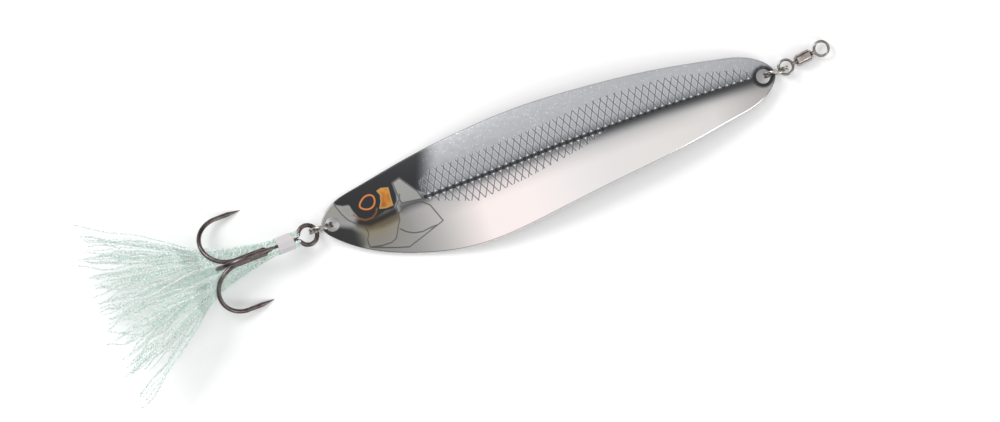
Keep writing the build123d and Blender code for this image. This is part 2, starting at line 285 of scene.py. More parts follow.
def closed_curve(corners, count):
    """A cubic spline round a loop of points, by chord length, with matching slope and bend at each point."""
    loop = np.array(corners, float)
    chord = np.linalg.norm(np.roll(loop, -1, 0) - loop, axis=1)
    before = np.roll(chord, 1)
    n = len(loop)
    system = np.zeros((n, n))
    rows = np.arange(n)
    system[rows, rows] = 2 * (chord + before)
    system[rows, (rows + 1) % n] = chord
    system[rows, (rows - 1) % n] = before
    rate = (np.roll(loop, -1, 0) - loop) / chord[:, None]
    bend = np.linalg.solve(system, 6 * (rate - np.roll(rate, 1, 0)))
    start = np.concatenate([[0], np.cumsum(chord)])
    at = np.linspace(0, start[-1], count, endpoint=False)
    k = np.searchsorted(start, at, side="right") - 1
    t = (at - start[k])[:, None]
    h = chord[k][:, None]
    after = (k + 1) % n
    return (
        loop[k]
        + t * (rate[k] - h * (2 * bend[k] + bend[after]) / 6)
        + t**2 * bend[k] / 2
        + t**3 * (bend[after] - bend[k]) / (6 * h)
    )


tail = (-BLADE_LENGTH / 2, 0)
nose = (BLADE_LENGTH / 2, 0)
RIM_POINTS = 900
outline = closed_curve([tail, *BACK_EDGE, nose, *BELLY_EDGE[::-1]], RIM_POINTS) + [blade_mid, blade_line]
forward = np.roll(outline, -1, 0) - np.roll(outline, 1, 0)
outward = np.stack([-forward[:, 1], forward[:, 0]], 1) / np.linalg.norm(forward, axis=1)[:, None]
print("outline goes", outline.min(0).round(2), outline.max(0).round(2))
print("CAD goes    ", blade_low[:2].round(2), blade_high[:2].round(2))

# %% [markdown]
# A strip that is cupped with one radius and bent with another is part of a torus, so the height of
# either face at any place is a formula, and so is the mirror-smooth normal.

# %% The blade's two faces
THICKNESS = 1.2
CUP_RADIUS = 62.0
CUP_SHIFT = -2.0
ARCH_RADIUS = 260.0
CURL_RADIUS = 140.0
CURL_START = -30.0
CROWN = 12.2539  # from the blade's middle to the top of its arch
CROWN_Z = 5.2872
arch_centre = np.array([blade_mid + CROWN, CROWN_Z - ARCH_RADIUS])
lean = (CROWN - CURL_START) / ARCH_RADIUS
join = arch_centre + ARCH_RADIUS * np.array([-math.sin(lean), math.cos(lean)])
curl_centre = join + CURL_RADIUS * np.array([-math.sin(lean), math.cos(lean)])


def face_height(x, y, side):
    """Height of the upper (side 1) or under (side -1) face: a circle of the cup carried round two arcs."""
    cup = np.sqrt((CUP_RADIUS + side * THICKNESS / 2) ** 2 - (y - blade_line - CUP_SHIFT) ** 2)
    arch = arch_centre[1] + np.sqrt((ARCH_RADIUS - CUP_RADIUS + cup) ** 2 - (x - arch_centre[0]) ** 2)
    curl = curl_centre[1] - np.sqrt((CURL_RADIUS + CUP_RADIUS - cup) ** 2 - (x - curl_centre[0]) ** 2)
    toward = (curl_centre[0] - arch_centre[0]) / (curl_centre[1] - arch_centre[1])
    return np.where(x > arch_centre[0] + (arch - arch_centre[1]) * toward, arch, curl)


def face_normal(x, y, side):
    """The face's outward direction, from its slopes along and across."""
    step = 0.01
    along = (face_height(x + step, y, side) - face_height(x - step, y, side)) / (2 * step)
    across = (face_height(x, y + step, side) - face_height(x, y - step, side)) / (2 * step)
    normal = np.stack([-along, -across, np.ones_like(x)], 1) * side
    return normal / np.linalg.norm(normal, axis=1)[:, None]


print("arch meets curl", round(float(blade_mid - join[0]), 1), "mm behind the blade's middle")

# %% [markdown]
# The formula has to agree with the CAD blade. Each CAD point clear of the holes is measured against the
# nearer of the two faces.

# %% Measure the formula against the CAD blade
CLEAR_OF_HOLES = 50  # mm from the blade's middle


def node_points(node):
    """A CAD node's points, in millimetres."""
    mesh = frame["nodes"][node].data
    points = np.empty(len(mesh.vertices) * 3)
    mesh.vertices.foreach_get("co", points)
    return points.reshape(-1, 3) / MM


cad_points = node_points("spoon_blade")
inner = np.abs(cad_points[:, 0] - blade_mid) < CLEAR_OF_HOLES
off = np.minimum(
    np.abs(cad_points[:, 2] - face_height(cad_points[:, 0], cad_points[:, 1], 1)),
    np.abs(cad_points[:, 2] - face_height(cad_points[:, 0], cad_points[:, 1], -1)),
)
print("CAD blade points off the formula, mm: half of them under", np.median(off[inner]).round(4))


# %% [markdown]
# The plan of a face is filled with a fine grid of points, joined by a Delaunay triangulation that
# keeps the rim and the hole edges as lines.

# %% Fill a face with triangles
def inside(points, loop):
    """True where a point is inside a loop: a ray to the right crosses the loop an odd number of times."""
    x, y = points[:, 0], points[:, 1]
    odd = np.zeros(len(points), bool)
    for (x1, y1), (x2, y2) in zip(loop, np.roll(loop, -1, 0)):
        if y1 != y2:
            odd ^= ((y1 > y) != (y2 > y)) & (x < (x2 - x1) * (y - y1) / (y2 - y1) + x1)
    return odd


def circle(radius, centre, count):
    """Points round a circle."""
    turn = np.linspace(0, 2 * math.pi, count, endpoint=False)
    return np.stack([centre[0] + radius * np.cos(turn), centre[1] + radius * np.sin(turn)], 1)


HOLE_POINTS = 72
UPPER_SPACING = 0.27  # mm between grid points, fine enough for the print
UNDER_SPACING = 0.9
MERGE_WITHIN = 1e-7  # mm
rim_loop = outline - outward * EDGE_ROUND
hole_loops = [circle(HOLE_RADIUS + HOLE_BEVEL, (x, blade_line), HOLE_POINTS) for x in HOLES]


def fill_plan(spacing):
    """Triangles over the blade's plan: first the rim's points, then the holes', then a grid."""
    low, high = rim_loop.min(0), rim_loop.max(0)
    grid = np.stack(
        np.meshgrid(np.arange(low[0], high[0], spacing), np.arange(low[1], high[1], spacing)), -1
    ).reshape(-1, 2)
    margin = 0.35 * spacing + 0.1
    grid = grid[inside(grid, rim_loop[::3] - outward[::3] * margin)]
    for x in HOLES:
        grid = grid[np.hypot(grid[:, 0] - x, grid[:, 1] - blade_line) > HOLE_RADIUS + HOLE_BEVEL + margin]
    loops = [rim_loop, *hole_loops]
    edges = []
    start = 0
    for loop in loops:
        ids = np.arange(len(loop)) + start
        edges += np.stack([ids, np.roll(ids, -1)], 1).tolist()
        start += len(loop)
    plan = np.concatenate([*loops, grid])
    made = delaunay_2d_cdt(plan.tolist(), edges, [], 0, MERGE_WITHIN)
    if len(made[0]) != len(plan):
        raise ValueError("the triangulation moved points")
    triangles = np.array(made[2])
    middle = plan[triangles].mean(1)
    keep = inside(middle, rim_loop)
    for x in HOLES:
        keep &= np.hypot(middle[:, 0] - x, middle[:, 1] - blade_line) > HOLE_RADIUS + HOLE_BEVEL * 0.9
    triangles = triangles[keep]
    corner = plan[triangles]
    turn = np.cross(corner[:, 1] - corner[:, 0], corner[:, 2] - corner[:, 0])
    triangles[turn < 0] = triangles[turn < 0][:, ::-1]
    return plan, triangles


upper_plan, upper_triangles = fill_plan(UPPER_SPACING)
under_plan, under_triangles = fill_plan(UNDER_SPACING)
print("upper face", len(upper_triangles), "triangles, under face", len(under_triangles))

# %% [markdown]
# Rim and holes are rings of points joined by strips: a quarter circle rolls the upper face over to a
# straight wall, and a small chamfer breaks each hole's edge. Each ring keeps its own exact normals.

# %% Stitch the blade together
RIM_STEPS = 4


def on_face(plan, side):
    """Plan points lifted on to a face."""
    return np.column_stack([plan, face_height(plan[:, 0], plan[:, 1], side)])


def rim_ring(angle, side):
    """A ring of the rim and its normals, at an angle from 0 on the face to a quarter turn on the wall."""
    plan = outline - outward * EDGE_ROUND * (1 - math.sin(angle))
    ring = on_face(plan, side)
    ring[:, 2] -= side * EDGE_ROUND * (1 - math.cos(angle))
    level = np.column_stack([outward, np.zeros(RIM_POINTS)])
    return ring, face_normal(plan[:, 0], plan[:, 1], side) * math.cos(angle) + level * math.sin(angle)


def strip(first, second, count):
    """Quads between two rings of the same count, whose points start at first and second."""
    ids = np.arange(count)
    after = (ids + 1) % count
    return np.column_stack([first + ids, first + after, second + after, second + ids])


def blade_mesh():
    """Points, faces and normals of the closed blade."""
    upper = on_face(upper_plan, 1)
    under = on_face(under_plan, -1)
    points = [upper, under]
    normals = [face_normal(*upper_plan.T, 1), face_normal(*under_plan.T, -1)]
    faces = [*upper_triangles.tolist(), *(under_triangles[:, ::-1] + len(upper)).tolist()]
    total = len(upper) + len(under)
    last = 0
    quarter = np.linspace(0, math.pi / 2, RIM_STEPS + 1)
    for angle, side in [(a, 1) for a in quarter[1:]] + [(a, -1) for a in quarter[:0:-1]]:
        ring, normal = rim_ring(angle, side)
        points.append(ring)
        normals.append(normal)
        faces += strip(last, total, RIM_POINTS).tolist()
        last = total
        total += RIM_POINTS
    faces += strip(last, len(upper), RIM_POINTS).tolist()
    for number, x in enumerate(HOLES):
        offset = RIM_POINTS + number * HOLE_POINTS
        wall = circle(HOLE_RADIUS, (x, blade_line), HOLE_POINTS)
        inward = np.column_stack([np.array([x, blade_line]) - wall, np.zeros(HOLE_POINTS)]) / HOLE_RADIUS
        last = offset
        for side in (1, -1):
            ring = on_face(wall, side)
            ring[:, 2] -= side * HOLE_BEVEL
            points.append(ring)
            normals.append(inward)
            faces += strip(last, total, HOLE_POINTS).tolist()
            last = total
            total += HOLE_POINTS
        faces += strip(last, len(upper) + offset, HOLE_POINTS).tolist()
    normals = np.concatenate(normals)
    return np.concatenate(points), faces, normals / np.linalg.norm(normals, axis=1)[:, None]


blade_points, blade_faces, blade_normals = blade_mesh()
on_top = np.zeros(len(blade_points))
on_top[: len(upper_plan)] = 1.0
rim_start = len(upper_plan) + len(under_plan)
on_top[rim_start : rim_start + RIM_POINTS * RIM_STEPS // 2] = 1.0
print("blade points", len(blade_points), "faces", len(blade_faces))

# %% [markdown]
# The fish is a print under clear lacquer. Soft shades are one colour per point, and each crisp shape or
# line is stored as its distance in millimetres, so that the shader can draw its edge sharp at any size.

# %% Distances to shapes
PRINT_START = 2.65  # mm from the tail's tip to the print's zero
AWAY = 9  # mm, a distance that keeps a shape off the rim and the under face
LATERAL_AWAY = 99
SCALES_START = 25.5
SCALES_END = 118
s = blade_points[:, 0] - blade_mid + BLADE_LENGTH / 2 - PRINT_START
n = blade_points[:, 1] - blade_line
print_place = np.column_stack([s, n])


def line_distance(corners, loop=False):
    """Distance from every point to a line through corners: the least over its runs."""
    ends = np.array(corners, float)
    pairs = zip(ends, np.roll(ends, -1, 0)) if loop else zip(ends[:-1], ends[1:])
    nearest = np.full(len(print_place), np.inf)
    for start, end in pairs:
        run = end - start
        share = np.clip(((print_place - start) @ run) / (run @ run), 0, 1)
        nearest = np.minimum(nearest, np.linalg.norm(print_place - start - share[:, None] * run, axis=1))
    return nearest


def shape_distance(corners):
    """Distance to a closed shape's edge, negative inside it."""
    return np.where(inside(print_place, np.array(corners, float)), -1, 1) * line_distance(corners, loop=True)


def soft(value, low, high):
    """0 at low, 1 at high, level beyond them and a smooth step between. low may be the greater."""
    t = np.clip((value - low) / (high - low), 0, 1)
    return t * t * (3 - 2 * t)


EYE_CORNERS = [(8.5, 2.1), (9.5, 3.6), (11.2, 4.4), (12.8, 3.9), (13.1, 2.4), (12.0, 0.8), (10.2, 0.6)]
EYE = closed_curve(EYE_CORNERS, 60)
FLARE = [(14.1, 4.6), (15.4, 5.0), (17.5, 4.5), (17.3, 2.0), (17.2, -0.5), (15.3, -0.6), (13.3, -0.2)]
FLARE += [(14.3, 1.6), (14.7, 3.3)]
CHEEK_PATCH = [(3.9, 3.0), (6.2, 3.2), (6.3, 1.5), (7.3, -0.2), (6.1, -0.5), (4.6, 1.1)]
NOSE_PATCH = [(-3.5, 1.0), (-2.6, 3.0), (0.0, 4.6), (2.2, 5.2), (2.5, 3.2), (3.4, 1.5), (4.5, -0.2)]
NOSE_PATCH += [(2.9, -0.2), (2.3, 1.1), (1.1, 2.3), (-0.5, 2.4), (-2.0, 1.4)]
COLLAR_PATCH = [(18.9, 5.2), (21.0, 5.8), (24.4, 1.0), (25.1, -1.3), (22.7, -1.0), (19.5, -0.6), (19.2, 1.0)]
MASK = [(2.3, 5.4), (2.5, 4.6), (4.4, 3.6), (5.9, 3.4), (6.4, 1.7), (7.0, 0.0), (7.9, -1.4), (9.7, -2.4)]
MASK += [(11.6, -2.1), (14.7, -1.3), (17.0, -1.3), (18.5, 0.3), (18.9, 2.0), (18.8, 5.2), (21.0, 5.9)]
MASK += [(24.4, 1.1), (26.5, -0.4), (38.0, 3.0), (38.0, 18.0), (2.3, 14.0)]
GILL = [(19.7, 1.8), (19.3, 0.6), (18.3, -0.4), (17.7, -1.2), (17.8, -2.7), (17.5, -4.8), (16.6, -6.2)]
GILL += [(15.8, -7.8), (15.0, -9.1), (13.4, -9.7), (10.9, -9.6), (8.0, -9.0)]
CHEEK_LINE = [(8.3, -3.5), (8.5, -4.4), (8.6, -5.5), (7.8, -6.9), (7.7, -8.7)]
LIP_LINE = [(2.4, 4.6), (3.4, 1.8), (4.5, -0.2), (5.8, -1.5), (7.5, -3.0), (8.3, -3.5)]
GILL_PLATE = [(24.9, -2.2), (26.5, -3.6), (28.4, -8.6), (17.7, -12.3), (14.5, -11.4), (10.7, -10.1)]
GILL_PLATE += [(7.6, -9.0)]
PLATE_ARC = [(16.9, -7.0), (18.3, -8.3), (20.1, -9.2), (22.3, -9.6), (25.0, -9.2), (26.4, -9.2)]
TOP_ARC = [(18.0, -3.0), (19.2, -2.2), (21.0, -1.7), (23.4, -1.8), (25.0, -2.2)]
EYE_ARC = [(6.3, 0.6), (7.4, -0.8), (9.0, -1.8), (10.9, -1.8), (12.2, -0.9), (12.8, 0.2)]

LATERAL_RISE = [(0, -1.6), (28, -1.1), (41, -0.8), (64, 0.3), (92, 0.7), (121, 0.0), (127, 0.0)]
lateral = n - np.interp(s, *zip(*LATERAL_RISE))
upper_scales = np.interp(s, [24, 29, 52, 79, 97, 115, 118], [2.5, 5.4, 6.1, 8.7, 8.0, 4.0, 2.0])
lower_scales = np.interp(s, [25, 29, 39, 53, 70, 78, 80], [-1.5, -3.2, -6.7, -5.2, -2.3, 0.4, 0.4])
scale_edge = np.maximum(n - upper_scales, lower_scales - n)
scale_edge = np.maximum(scale_edge, np.maximum(SCALES_START - s, s - SCALES_END))
collar_edge = shape_distance(COLLAR_PATCH)
print("head shapes measured at", len(print_place), "points")

# %% [markdown]
# The soft shades: grey pearl along the back, and below it the bare plate, whose grey and white along the
# blade are painted reflection; black lacquer over the head and chin that fades out like airbrush, and an
# olive tint on the cheek.

# %% Shades of the print
def tint(hex_colour):
    """A colour's linear RGB."""
    return np.array(linear(hex_colour)[:3])


def along(stops):
    """A colour along the blade, between stops of (place, colour)."""
    at = [stop[0] for stop in stops]
    shades = np.array([tint(stop[1]) for stop in stops])
    return np.column_stack([np.interp(s, at, shades[:, k]) for k in range(3)])


def smear(corners, reach, core):
    """1 within core millimetres of a line and 0 beyond reach."""
    return soft(-line_distance(corners), -reach, -core)


def lay(base, colour, amount):
    """Lays a colour over another by an amount at each point."""
    return base + (colour - base) * amount[:, None]


# The bare plate's colours along the blade are painted reflection: grey at the head, white in the middle, greyer
# toward the front.
PLATE_REFLECTION_STOPS = [(-3, "#808080"), (12, "#8C8B89"), (20, "#9A9997"), (27, "#BAB7B5"), (33, "#DAD4D2")]
PLATE_REFLECTION_STOPS += [(40, "#FCF0EE"), (52, "#FCF1EF"), (62, "#F2ECEB"), (75, "#E6E3E2"), (90, "#E4E0DE")]
PLATE_REFLECTION_STOPS += [(105, "#DDDAD8"), (114, "#C2BEBD"), (121, "#AAA7A6"), (125, "#D0CCCA")]
BACK_STOPS = [(-3, "#909090"), (28, "#909194"), (45, "#9C9EA2"), (70, "#AEAFB4"), (95, "#B1B2B7")]
BACK_STOPS += [(112, "#A2A3A7"), (125, "#9C9DA0")]
# The back's grey fades into the plate's painted reflection across the lateral line, which lies in a dark band.
painted_plate_reflection = along(PLATE_REFLECTION_STOPS)
back_shade = lay(along(BACK_STOPS), tint("#8E9096"), 0.55 * soft(n, 7.0, 1.0) * soft(s, 25, 35))
painted = soft(lateral, -3.4, 0.4)
shade = lay(painted_plate_reflection, back_shade, painted)
shade = lay(shade, tint("#8F9093"), 0.42 * soft(lateral, -8.0, -2.0) * soft(s, 24, 34) * soft(-s, -112, -90))
BAND_AT = [24, 34, 60, 100, 119]
band_above = np.interp(s, BAND_AT, [0.7, 1.0, 1.6, 1.6, 1.6])
band_below = np.interp(s, BAND_AT, [0.7, 1.3, 1.9, 2.2, 2.4])
band = np.exp(-((lateral / np.where(lateral > 0, band_above, band_below)) ** 2))
shade = lay(shade, tint("#1D1E22"), 0.95 * band * soft(s, 23, 28))

# Black lacquer covers the head and fades out behind it. Below it lie the olive cheek and a dark smudge.
black_fade = soft(-(s - 0.4 * n), -30.0, -23.0)
mask_edge = shape_distance(MASK)
black = soft(-mask_edge, -0.15, 0.25) * black_fade
cheek = soft(-n, 1.0, 3.2) * soft(-s, -22, -12) * soft(s, 4, 9)
olive = cheek * soft(n, -12, -3)
shade = lay(shade, tint("#7E7250"), 0.75 * olive)
smudge = smear([(7.4, -1.9), (9.7, -2.9), (12.8, -2.7), (17.0, -2.2)], 2.3, 0.2)
shade = lay(shade, tint("#120A04"), 0.98 * smudge * soft(-s, -18.6, -17.2))
brown = smear([(9.0, -3.4), (13.0, -3.9), (17.0, -3.4)], 2.2, 0.2) * soft(-s, -18.2, -17.0)
shade = lay(shade, tint("#4A3A18"), 0.8 * brown * (1 - smudge))
dark_start = smear([(17.5, -1.9), (21.0, -1.5), (26.0, -1.2)], 2.6, -0.1)
shade = lay(shade, tint("#3A3B3E"), 0.8 * dark_start * soft(s, 18.0, 19.0))
# The chin is black as well, and a dark ring lies round the front hole.
chin = smear([(-3.0, -2.5), (0.5, -3.2), (3.4, -4.6), (5.2, -6.4)], 3.4, 1.6)
chin *= 1 - soft(-shape_distance(NOSE_PATCH), -0.6, 0.0)
shade = lay(shade, tint("#121315"), 0.97 * chin * soft(-s, -9.5, -4.5))
shade = lay(shade, tint("#141518"), black)
hole_ring = soft(-np.hypot(blade_points[:, 0] - HOLES[0], n), -3.3, -2.6)
shade = lay(shade, tint("#17181B"), hole_ring)
print("black lacquer's mean strength on the upper face:", round(float(black[: len(upper_plan)].mean()), 3))

# %% [markdown]
# The shader reads one value for each thing that it draws: the soft shade, how far lacquer covers the plate,
# how pearly it is, and the distances. Off the upper face the distances are made too great to draw.

# %% Values for the shader
cover = np.maximum.reduce([painted, black, 0.85 * olive, smudge, chin, hole_ring, band * soft(s, 23, 28)])
pearl = painted * (1 - black) * soft(s, 24, 30) * soft(lateral, 0.8, 3.0) * on_top
shade = lay(np.broadcast_to(tint("#C9C6C4"), shade.shape), shade, on_top)
lines = np.minimum.reduce(
    [line_distance(line) for line in (GILL, CHEEK_LINE, LIP_LINE, GILL_PLATE, PLATE_ARC, TOP_ARC)]
)
lines = np.minimum(lines, np.abs(collar_edge))
distances = {
    "line": lines,
    "eye": shape_distance(EYE),
    "flare": shape_distance(FLARE),
    "pale": np.minimum(shape_distance(CHEEK_PATCH), shape_distance(NOSE_PATCH)),
    "collar": collar_edge,
    "eye_arc": line_distance(EYE_ARC),
    "scales": scale_edge,
}
values = {
    "shade": np.column_stack([shade, np.ones(len(shade))]),
    "cover": cover * on_top,
    "pearl": pearl * (0.35 + 0.65 * soft(n - upper_scales, -4.0, 3.0)),
}
values |= {name: distance + AWAY * (1 - on_top) for name, distance in distances.items()}
values["lateral"] = lateral + LATERAL_AWAY * (1 - on_top)
print("stored on each point:", ", ".join(values))

# %% [markdown]
# Chrome plate over brass, printed and lacquered. Distances become crisp edges, two families of slanting
# lines make the scales, and cells scattered in the pearl paint catch the light as glitter. A painted image
# could hold the same fish, but these edges stay sharp at any distance. Buffing leaves a faint haze in the
# plate, which varies the roughness.

# %% Sizes in the print, and helpers
SCALE_PITCH = 2.0  # mm along the blade
SCALE_SLANT = 62.0  # degrees to the blade's line
LINE_HALF = 0.14  # mm, half a scale line's width
# The pale border round each scale line is a painted highlight on its engraved edges.
HIGHLIGHT_WIDTH = 3.2  # times as wide, for the paler border of a scale line
DOT_RADIUS = 0.58  # mm
SPARK_RADIUS = 0.2  # mm, of the bright dots beside the lateral line
SPARK_OFFSET = 0.62  # mm from the lateral line
FLAKE_SIZE = 0.26  # mm
FLAKE_RARITY = 0.93  # share of the cells that hold no glitter


def below(tree, value, limit, blur):
    """1 where a value is under a limit and 0 above it, with a short blend."""
    edge = {"Value": value, "From Min": limit + blur, "From Max": limit - blur}
    return add(tree, "ShaderNodeMapRange", edge, interpolation_type="SMOOTHSTEP").outputs[0]


def attribute(tree, name, output="Fac"):
    """A value stored on the mesh's points."""
    return add(tree, "ShaderNodeAttribute", attribute_name=name).outputs[output]


def blend_colour(tree, amount, under, over):
    """Lays one colour over another by an amount. Each is a node's output or a hex string."""
    under, over = (linear(colour) if isinstance(colour, str) else colour for colour in (under, over))
    return add(tree, "ShaderNodeMix", {0: amount, 6: under, 7: over}, data_type="RGBA").outputs[2]


def repeat_distance(tree, value, pitch):
    """Distance from a value to the nearest whole number of pitches."""
    return math_node(tree, "PINGPONG", value, pitch / 2)


def far_from(tree, along, across):
    """Distance from two offsets at a right angle."""
    squares = [math_node(tree, "POWER", offset, 2.0) for offset in (along, across)]
    return math_node(tree, "SQRT", math_node(tree, "ADD", *squares))


print("scales repeat every", SCALE_PITCH, "mm, at", SCALE_SLANT, "degrees to the blade's line")


# %% [markdown]
# Layers are laid one over another: the soft shade, scales and glitter, the lateral line's dots, the head's
# patches, the eye, and the fine lines last. Where lacquer covers the plate it is less metallic and rougher.

# %% The plate's material
def printed_plate():
    """Chrome-plated brass with a printed fish under lacquer: mirror below, pearl and glitter above."""
    material, tree = new_material("chrome_plate_printed")
    position = object_place(tree)
    x = math_node(tree, "MULTIPLY", add(tree, "ShaderNodeSeparateXYZ", {0: position}).outputs["X"], 1 / MM)
    side = attribute(tree, "lateral")
    slant = 1 / math.tan(math.radians(SCALE_SLANT))
    weave = []
    for lean_way in (slant, -slant):
        shifted = math_node(tree, "MULTIPLY_ADD", side, lean_way, x)
        weave.append(repeat_distance(tree, shifted, SCALE_PITCH))
    weave_line = math_node(tree, "MINIMUM", *weave)
    in_scales = below(tree, attribute(tree, "scales"), 0.0, 0.05)
    scale_line = math_node(tree, "MULTIPLY", below(tree, weave_line, LINE_HALF, 0.05), in_scales)
    # A pale band round each line: a painted highlight on its edges.
    highlight_band = below(tree, weave_line, HIGHLIGHT_WIDTH * LINE_HALF, 0.12)
    painted_line_highlight = math_node(tree, "MULTIPLY", highlight_band, in_scales)

    flakes = add(tree, "ShaderNodeTexVoronoi", {"Vector": position, "Scale": 1 / (FLAKE_SIZE * MM)})
    lucky = add(tree, "ShaderNodeSeparateColor", {0: flakes.outputs["Color"]}).outputs[0]
    flake = math_node(tree, "GREATER_THAN", lucky, FLAKE_RARITY)
    flake = math_node(tree, "MULTIPLY", flake, below(tree, flakes.outputs["Distance"], 0.30, 0.08))
    pearl = attribute(tree, "pearl")
    flake = math_node(tree, "MULTIPLY", flake, pearl)

    colour = attribute(tree, "shade", "Color")
    mottle = noise(tree, position, 900.0, 3.0)
    mottle = math_node(tree, "MULTIPLY", math_node(tree, "MULTIPLY_ADD", mottle, 0.3, -0.08), pearl)
    dot = far_from(tree, repeat_distance(tree, x, SCALE_PITCH), side)
    dot = math_node(tree, "MULTIPLY", below(tree, dot, DOT_RADIUS, 0.1), in_scales)
    gap_along = math_node(tree, "SUBTRACT", SCALE_PITCH / 2, repeat_distance(tree, x, SCALE_PITCH))
    gap_across = math_node(tree, "SUBTRACT", math_node(tree, "ABSOLUTE", side), SPARK_OFFSET)
    spark = far_from(tree, gap_along, gap_across)
    spark = math_node(tree, "MULTIPLY", below(tree, spark, SPARK_RADIUS, 0.08), in_scales)
    pale = below(tree, attribute(tree, "pale"), 0.0, 0.08)
    collar = below(tree, attribute(tree, "collar"), 0.0, 0.08)
    flare = attribute(tree, "flare")
    streaks = below(tree, noise(tree, position, 420.0, 1.0), 0.5, 0.2)
    orange = blend_colour(tree, streaks, "#C47E26", "#9C5614")
    eye = attribute(tree, "eye")
    arc = below(tree, attribute(tree, "eye_arc"), 0.22, 0.15)
    line = below(tree, attribute(tree, "line"), 0.17, 0.06)
    layers = [
        (mottle, "#D8D9DE"),
        # painted highlight along the scale lines
        (math_node(tree, "MULTIPLY", painted_line_highlight, 0.16), "#E4E5E8"),
        (math_node(tree, "MULTIPLY", scale_line, 0.8), "#3A3C41"),
        (flake, "#FFFFFF"),
        (spark, "#D9DADD"),
        (dot, "#191A1E"),
        (pale, "#8E8C86"),
        (collar, "#90908E"),
        (below(tree, flare, 0.0, 0.1), "#A88A4A"),
        (below(tree, flare, -0.35, 0.25), orange),
        (below(tree, eye, 0.75, 0.25), "#14161B"),
        (below(tree, eye, 0.05, 0.1), "#CB7631"),
        (below(tree, eye, -0.38, 0.1), "#14171F"),
        (math_node(tree, "MULTIPLY", arc, 0.8), "#7E4E24"),
        (math_node(tree, "MULTIPLY", line, 0.85), "#4A4843"),
    ]
    for amount, over in layers:
        colour = blend_colour(tree, amount, colour, over)

    lacquer = math_node(tree, "MAXIMUM", attribute(tree, "cover"), math_node(tree, "MAXIMUM", pale, collar))
    metal = math_node(tree, "MULTIPLY_ADD", lacquer, -0.55, 1.0)
    haze = math_node(tree, "MULTIPLY_ADD", noise(tree, position, 350.0, 6.0), 0.08, 0.1)
    rough = math_node(tree, "MULTIPLY_ADD", lacquer, 0.2, haze)
    engraved = math_node(tree, "SUBTRACT", 1.0, math_node(tree, "MAXIMUM", scale_line, line))
    inputs = {
        "Base Color": colour,
        "Metallic": metal,
        "Roughness": rough,
        "Normal": relief(tree, engraved, 0.35, 0.03),
        "Coat Weight": 0.25,
        "Coat Roughness": 0.05,
    }
    finish_material(tree, inputs)
    return material


blade = make_piece("blade", blade_points, blade_faces, printed_plate(), blade_normals, values)
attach(blade, "blade")
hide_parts("spoon_blade")

# %% [markdown]
# The CAD wires have the right shapes, so they only need their finishes. Plated wire is drawn, bent and
# then plated: a smooth metal, with faint draw marks and darker plate where it was handled less.

# %% Plated wire
def plated_wire(name, colour, worn, roughness):
    """Plated steel wire: a mottled metal between two shades, with fine draw marks in its roughness."""
    material, tree = new_material(name)
    position = object_place(tree)
    cloud = noise(tree, position, 500.0, 4.0)
    cloud = add(tree, "ShaderNodeMapRange", {"Value": cloud, "From Min": 0.35, "From Max": 0.65}).outputs[0]
    base = blend_colour(tree, cloud, linear(colour), linear(worn))
    marks = noise(tree, position, 4000.0, 2.0)
    rough = math_node(tree, "MULTIPLY_ADD", marks, 0.12, roughness)
    normal = relief(tree, marks, 0.12, 0.01)
    inputs = {"Base Color": base, "Metallic": 1.0, "Roughness": rough, "Normal": normal}
    finish_material(tree, inputs)
    return material


FINISHES = {
    "ring_nickel": plated_wire("bright_nickel_wire", "#CFCAC6", "#A39E9A", 0.10),
    "swivel_wire": plated_wire("dark_nickel_wire", "#A19B97", "#7C7672", 0.12),
    "swivel_shell": plated_wire("dark_nickel_shell", "#BDB4B0", "#8F8784", 0.12),
    "hook_wire": plated_wire("black_nickel_wire", "#736967", "#544B49", 0.22),
    "braze": plated_wire("plated_braze", "#655856", "#4C403D", 0.32),
}


def wear(node, material):
    """Gives a CAD node one material."""
    mesh = frame["nodes"][node].data
    mesh.materials.clear()
    mesh.materials.append(material)


slots = {part["node"]: part["material_slot"] for part in frame["record"]["subparts"]}
for node, slot_name in slots.items():
    if slot_name in FINISHES:
        wear(node, FINISHES[slot_name])
print("finished wires:", sorted(n for n, m in slots.items() if m in FINISHES))

# %% [markdown]
# The tinsel is pearl film, slit into strands and crinkled. Each strand is a flat ribbon that twists as it
# goes. A tuft is a group of them, each on its own line out of the plain CAD tuft's root, and toward the
# tips the group spreads past that tuft's skin. Hair curves would be quicker to comb, but a ribbon of real
# faces shows its twist and can be exported. So much light goes from strand to strand that a render with
# few bounces loses it, and a little of their own light stands in.

# %% The shank's own directions
pivot = ring_joints["treble_yaw"]
lift = next(np.array(j["axis"]) for j in frame["joints"] if j["name"] == "treble_yaw")
sleeve_box = np.array(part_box("collar_sleeve")) / MM
to_sleeve = sleeve_box.mean(0) - pivot
back = to_sleeve - lift * (to_sleeve @ lift)
back /= np.linalg.norm(back)
across = np.cross(back, lift)
print("hook eye", pivot.round(2), "shank back", back.round(3), "lift", lift.round(3))
print("the sleeve is", round(float(to_sleeve @ back), 2), "mm behind the hook's eye")


def shank_frame(points):
    """Points as (along the shank, to its side, above it), from the centre of the hook's eye."""
    return (points - pivot) @ np.column_stack([back, across, lift])


def from_shank(local):
    """Places in the model's frame of points given along, to the side of and above the shank."""
    return pivot + local @ np.vstack([back, across, lift])

# %% [markdown]
# A natural cubic spline through a few stations gives each tuft a smooth line to follow.

